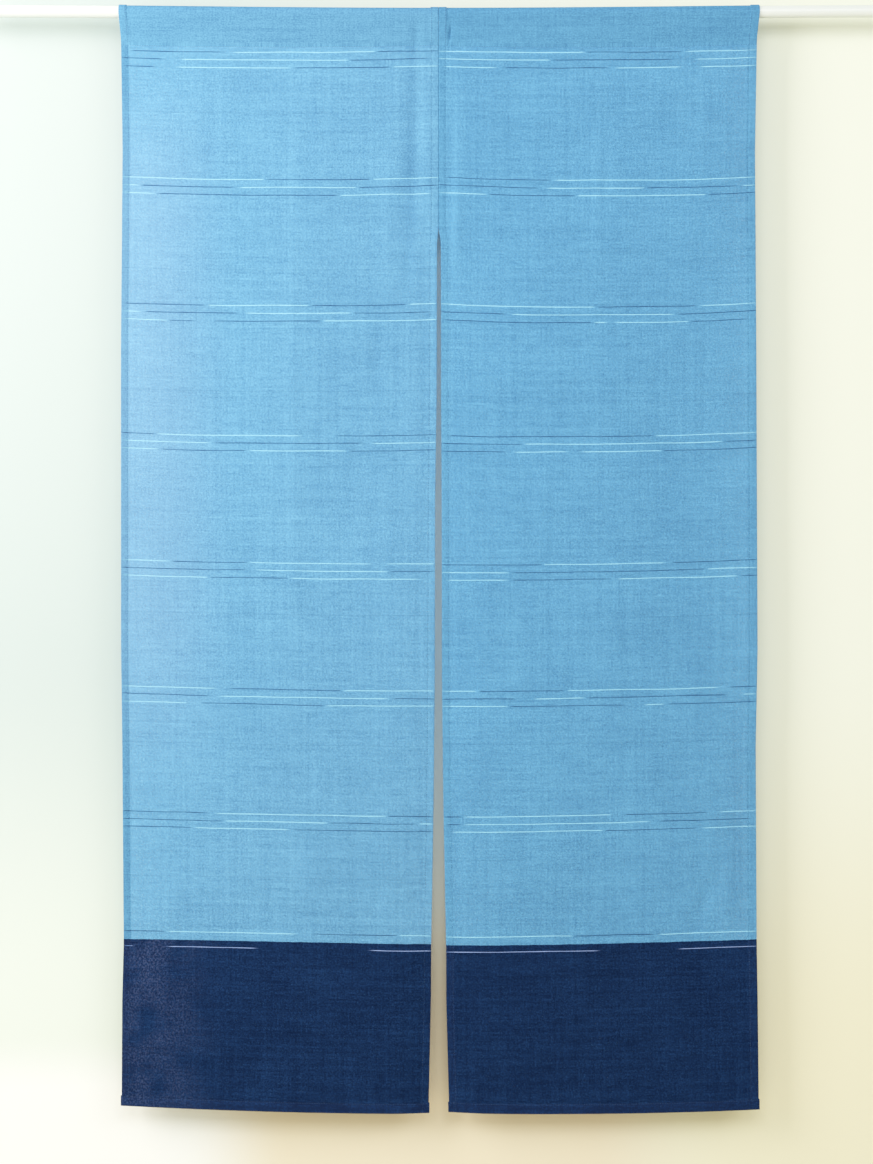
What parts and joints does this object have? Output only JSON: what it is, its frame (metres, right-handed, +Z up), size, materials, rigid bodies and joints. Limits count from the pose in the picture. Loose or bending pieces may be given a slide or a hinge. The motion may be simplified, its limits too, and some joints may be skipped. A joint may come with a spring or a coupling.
{
  "type": "noren curtain on a rod",
  "caption": "Doorway curtain of soft cloth panels joined above a slit, hung by a sewn pocket on a plain round rod.",
  "frame": {"origin": "centre of the rod's left end face", "axes": "+X along the rod to its right end, +Y from the front of the cloth to its back, +Z up"},
  "size_m": [1.25, 0.0209, 1.4927],
  "materials": {
    "cloth": "matt slubby plain weave, light blue with a dark blue foot",
    "rod_paint": "smooth white"
  },
  "bodies": {
    "root": {"left_panel": "cloth", "right_panel": "cloth", "rod": "rod_paint"}
  },
  "joints": []
}
